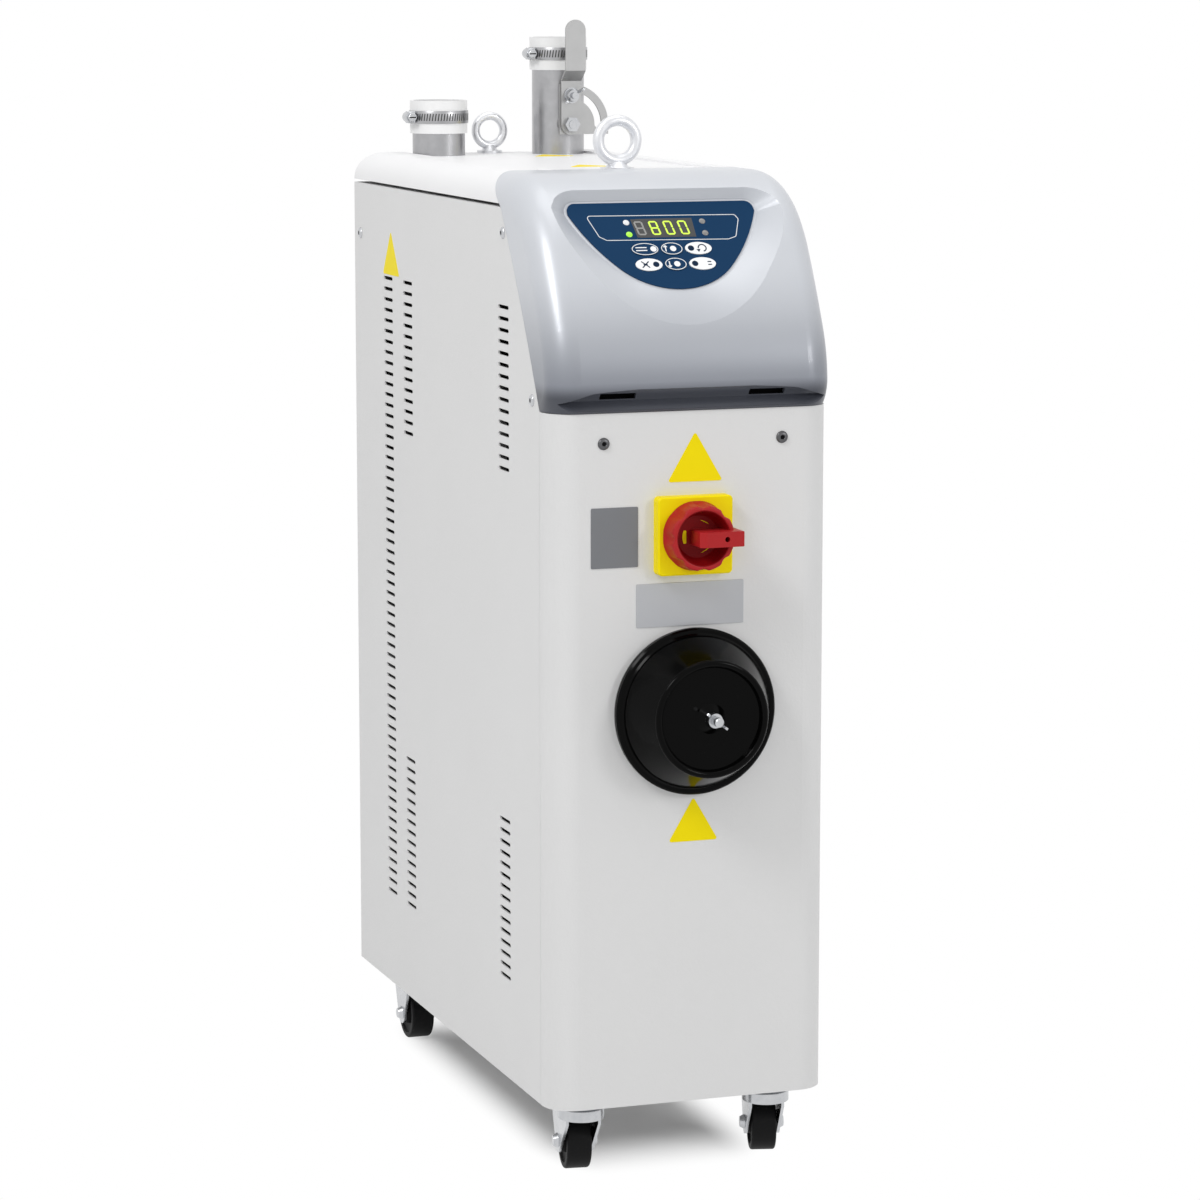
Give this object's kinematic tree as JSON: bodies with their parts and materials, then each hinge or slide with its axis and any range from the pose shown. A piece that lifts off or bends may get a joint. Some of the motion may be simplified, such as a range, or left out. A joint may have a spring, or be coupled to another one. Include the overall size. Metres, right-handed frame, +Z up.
{
  "type": "air dryer",
  "caption": "Compact wheeled desiccant air dryer cabinet with keypad hood, main switch, filter cover, hose stubs and valve.",
  "frame": {"origin": "on the floor under the centre of the overall box", "axes": "+X to the right seen from the front, +Y from the keypad hood to the rear panel, +Z up"},
  "size_m": [0.2584, 0.682, 0.993],
  "materials": {
    "cabinet_paint": "fine textured light grey",
    "inner_steel": "zinc plated",
    "roof_shell": "satin white",
    "hood_shell": "satin silver grey",
    "overlay_blue": "matt blue film",
    "display_dark": "dark window",
    "lamp_clear": "lamp lens",
    "key_white": "white key",
    "key_blue": "blue key",
    "board_green": "circuit board",
    "switch_yellow": "glossy yellow plate",
    "switch_red": "satin red",
    "black_plastic": "black",
    "cover_black": "satin black",
    "zinc": "bright zinc",
    "filter_paper": "pleated paper",
    "gasket": "matt",
    "duct_metal": "sheet",
    "stub_steel": "polished tube",
    "sleeve_white": "white silicone sleeve",
    "cast_alloy": "cast",
    "motor_iron": "painted",
    "desiccant": "beads",
    "wheel_black": "black tyre and hub",
    "plug_white": "white"
  },
  "bodies": {
    "cabinet": {"air_ducts": "duct_metal", "base_frame": "cabinet_paint", "blower_housing": "cast_alloy", "blower_motor": "motor_iron", "cable_gland": "black_plastic", "caster_heads": "zinc", "control_board": "board_green", "control_hood": "hood_shell", "cover_gasket": "gasket", "cover_plugs": "plug_white", "desiccant_beds": "desiccant", "desiccant_towers": "inner_steel", "dial_overlay": "overlay_blue", "display_window": "display_dark", "eyebolts": "zinc", "filter_can": "inner_steel", "filter_cartridge": "filter_paper", "filter_cover": "cover_black", "filter_stud": "zinc", "front_panel": "cabinet_paint", "hose_clamps": "stub_steel", "hose_sleeves": "sleeve_white", "hose_stubs": "stub_steel", "indicator_lamps": "lamp_clear", "left_side_panel": "cabinet_paint", "lifting_rail": "inner_steel", "mounting_plate": "inner_steel", "panel_screws": "zinc", "power_unit": "black_plastic", "rear_forks": "zinc", "rear_panel": "cabinet_paint", "right_side_panel": "cabinet_paint", "switch_body": "black_plastic", "switch_plate": "switch_yellow", "top_cover": "roof_shell", "tower_heaters": "inner_steel", "tower_manifold": "duct_metal", "valve_quadrant": "stub_steel"},
    "left_front_swivel": {"left_front_fork": "zinc"},
    "right_front_swivel": {"right_front_fork": "zinc"},
    "left_front_wheel": {"left_front_wheel": "wheel_black"},
    "right_front_wheel": {"right_front_wheel": "wheel_black"},
    "left_rear_wheel": {"left_rear_wheel": "wheel_black"},
    "right_rear_wheel": {"right_rear_wheel": "wheel_black"},
    "left_brake": {"left_front_brake": "black_plastic"},
    "right_brake": {"right_front_brake": "black_plastic"},
    "main_switch": {"switch_handle": "switch_red"},
    "filter_nut": {"filter_wing_nut": "zinc"},
    "valve": {"valve_lever": "stub_steel", "valve_shaft": "zinc", "valve_disc": "stub_steel", "lever_fasteners": "zinc"},
    "lever_nut": {"lever_wing_nut": "zinc"},
    "impeller": {"blower_impeller": "cast_alloy"},
    "alarm_key": {"alarm_key": "key_blue"},
    "raise_key": {"raise_key": "key_blue"},
    "cycle_key": {"cycle_key": "key_white"},
    "mute_key": {"mute_key": "key_white"},
    "lower_key": {"lower_key": "key_blue"},
    "power_key": {"power_key": "key_white"}
  },
  "joints": [
    {"name": "left_front_swivel_turn", "type": "hinge", "parent": "cabinet", "child": "left_front_swivel", "pos_m": [-0.086, -0.232, 0.066], "axis": [0, 0, 1], "continuous": true},
    {"name": "right_front_swivel_turn", "type": "hinge", "parent": "cabinet", "child": "right_front_swivel", "pos_m": [0.086, -0.232, 0.066], "axis": [0, 0, 1], "continuous": true},
    {"name": "left_front_wheel_spin", "type": "hinge", "parent": "left_front_swivel", "child": "left_front_wheel", "pos_m": [-0.08182, -0.20229, 0.025], "axis": [0.9903, -0.1392, 0], "continuous": true},
    {"name": "right_front_wheel_spin", "type": "hinge", "parent": "right_front_swivel", "child": "right_front_wheel", "pos_m": [0.09377, -0.20302, 0.025], "axis": [0.9659, -0.2588, 0], "continuous": true},
    {"name": "left_rear_wheel_spin", "type": "hinge", "parent": "cabinet", "child": "left_rear_wheel", "pos_m": [-0.086, 0.269, 0.025], "axis": [1, 0, 0], "continuous": true},
    {"name": "right_rear_wheel_spin", "type": "hinge", "parent": "cabinet", "child": "right_rear_wheel", "pos_m": [0.086, 0.269, 0.025], "axis": [1, 0, 0], "continuous": true},
    {"name": "left_brake_press", "type": "hinge", "parent": "left_front_swivel", "child": "left_brake", "pos_m": [-0.07904, -0.18249, 0.052], "axis": [-0.9903, 0.1392, 0], "range_deg": [0, 12]},
    {"name": "right_brake_press", "type": "hinge", "parent": "right_front_swivel", "child": "right_brake", "pos_m": [0.09894, -0.1837, 0.052], "axis": [-0.9659, 0.2588, 0], "range_deg": [0, 12]},
    {"name": "main_switch_turn", "type": "hinge", "parent": "cabinet", "child": "main_switch", "pos_m": [-0.002, -0.275, 0.567], "axis": [0, -1, 0], "range_deg": [0, 90]},
    {"name": "filter_nut_turn", "type": "hinge", "parent": "cabinet", "child": "filter_nut", "pos_m": [0, -0.33, 0.4155], "axis": [0, -1, 0], "continuous": true},
    {"name": "valve_turn", "type": "hinge", "parent": "cabinet", "child": "valve", "pos_m": [0.06, 0.223, 0.894], "axis": [0, 1, 0], "range_deg": [0, 90]},
    {"name": "lever_nut_turn", "type": "hinge", "parent": "valve", "child": "lever_nut", "pos_m": [0.06, 0.215, 0.9215], "axis": [0, -1, 0], "continuous": true},
    {"name": "impeller_spin", "type": "hinge", "parent": "cabinet", "child": "impeller", "pos_m": [0, 0.18, 0.18], "axis": [0, 1, 0], "continuous": true},
    {"name": "alarm_key_press", "type": "slide", "parent": "cabinet", "child": "alarm_key", "axis": [0, 0.766, -0.6428], "range_m": [0, 0.0005], "stiffness_N_per_m": 200, "springref_m": -0.0003},
    {"name": "raise_key_press", "type": "slide", "parent": "cabinet", "child": "raise_key", "axis": [0, 0.766, -0.6428], "range_m": [0, 0.0005], "stiffness_N_per_m": 200, "springref_m": -0.0003},
    {"name": "cycle_key_press", "type": "slide", "parent": "cabinet", "child": "cycle_key", "axis": [0, 0.766, -0.6428], "range_m": [0, 0.0005], "stiffness_N_per_m": 200, "springref_m": -0.0003},
    {"name": "mute_key_press", "type": "slide", "parent": "cabinet", "child": "mute_key", "axis": [0, 0.766, -0.6428], "range_m": [0, 0.0005], "stiffness_N_per_m": 200, "springref_m": -0.0003},
    {"name": "lower_key_press", "type": "slide", "parent": "cabinet", "child": "lower_key", "axis": [0, 0.766, -0.6428], "range_m": [0, 0.0005], "stiffness_N_per_m": 200, "springref_m": -0.0003},
    {"name": "power_key_press", "type": "slide", "parent": "cabinet", "child": "power_key", "axis": [0, 0.766, -0.6428], "range_m": [0, 0.0005], "stiffness_N_per_m": 200, "springref_m": -0.0003}
  ]
}
